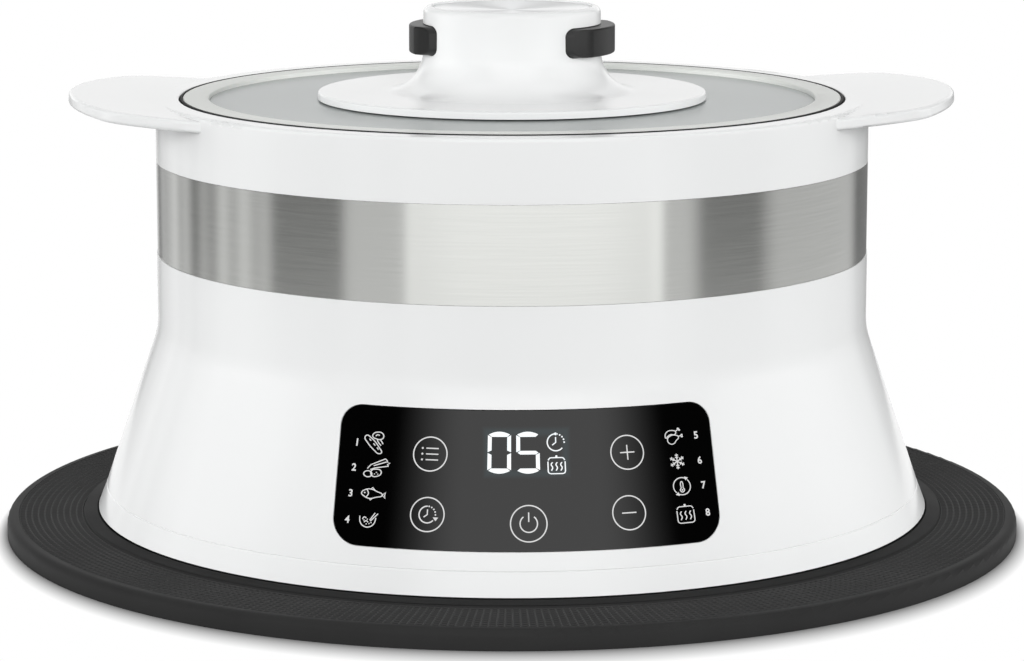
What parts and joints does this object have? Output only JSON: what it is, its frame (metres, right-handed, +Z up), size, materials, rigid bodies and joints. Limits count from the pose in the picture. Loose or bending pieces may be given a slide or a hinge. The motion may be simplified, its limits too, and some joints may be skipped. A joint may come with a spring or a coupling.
{
  "type": "electric food steamer",
  "caption": "Round countertop steam unit on a wide silicone skirt, with a water tank under a latched glass lid, a touch panel, a steel band and side lifting ears.",
  "frame": {"origin": "on the surface that the silicone skirt's rim lies on, on the unit's axis", "axes": "+Z up along the unit's axis, -Y towards the control panel, +X and -X towards the two lifting ears"},
  "size_m": [0.3877, 0.3878, 0.1989],
  "materials": {
    "white_plastic": "gloss moulded",
    "black_silicone": "satin",
    "clear_silicone": "satin",
    "grey_plastic": "matte moulded",
    "black_plastic": "satin moulded",
    "black_gloss_plastic": "mirror gloss, printed from behind",
    "brushed_steel": "brushed round the axis",
    "steel_tube": "drawn",
    "transformer_steel": "laminated",
    "screw_steel": "zinc plated",
    "spring_steel": "polished strip",
    "cast_aluminium": "cast",
    "capacitor_aluminium": "drawn",
    "spun_aluminium": "spun in fine circles",
    "circuit_board": "matte",
    "black_foam": "matte foam",
    "grey_lid_plastic": "satin moulded",
    "frosted_glass": "frosted from below, smooth above"
  },
  "bodies": {
    "seal": {"silicone_seal": "black_silicone"},
    "unit": {"base_ring": "white_plastic", "chamber_dome": "grey_plastic", "cowl": "white_plastic", "control_panel": "black_gloss_plastic", "steel_band": "brushed_steel", "handle_ring": "white_plastic", "water_tank": "white_plastic", "latch_collar": "grey_plastic", "steam_diffuser": "grey_plastic", "nozzle_seal": "black_silicone", "boiler": "cast_aluminium", "boiler_seal": "black_silicone", "boiler_cover": "cast_aluminium", "heating_element": "steel_tube", "thermostat": "steel_tube", "thermal_fuse": "white_plastic", "water_valve": "black_plastic", "feed_hose": "clear_silicone", "touch_board": "circuit_board", "display_module": "black_plastic", "touch_pads": "black_foam", "power_board": "circuit_board", "transformer": "transformer_steel", "relay": "black_plastic", "capacitors": "capacitor_aluminium", "terminal_block": "white_plastic", "mains_gland": "black_plastic", "base_screws": "screw_steel"},
    "lid": {"lid_ring": "grey_lid_plastic", "lid_gasket": "black_silicone", "lid_window": "frosted_glass", "disc_gasket": "black_silicone", "knob_shell": "white_plastic", "knob_cap": "spun_aluminium", "lid_clamp": "grey_plastic", "lid_screws": "screw_steel", "latch_carrier": "grey_plastic", "latch_spring_right": "spring_steel", "latch_spring_left": "spring_steel"},
    "button_right": {"latch_button_right": "black_plastic"},
    "button_left": {"latch_button_left": "black_plastic"}
  },
  "joints": [
    {"name": "unit_lift", "type": "slide", "parent": "seal", "child": "unit", "axis": [0, 0, 1], "range_m": [0, 0.06]},
    {"name": "lid_lift", "type": "slide", "parent": "unit", "child": "lid", "axis": [0, 0, 1], "range_m": [0, 0.08]},
    {"name": "right_latch_press", "type": "slide", "parent": "lid", "child": "button_right", "axis": [-0.977, 0.213, 0], "range_m": [0, 0.003], "stiffness_N_per_m": 600, "springref_m": -0.002, "deforming": ["latch_spring_right"]},
    {"name": "left_latch_press", "type": "slide", "parent": "lid", "child": "button_left", "axis": [0.977, -0.213, 0], "range_m": [0, 0.003], "stiffness_N_per_m": 600, "springref_m": -0.002, "deforming": ["latch_spring_left"]}
  ]
}
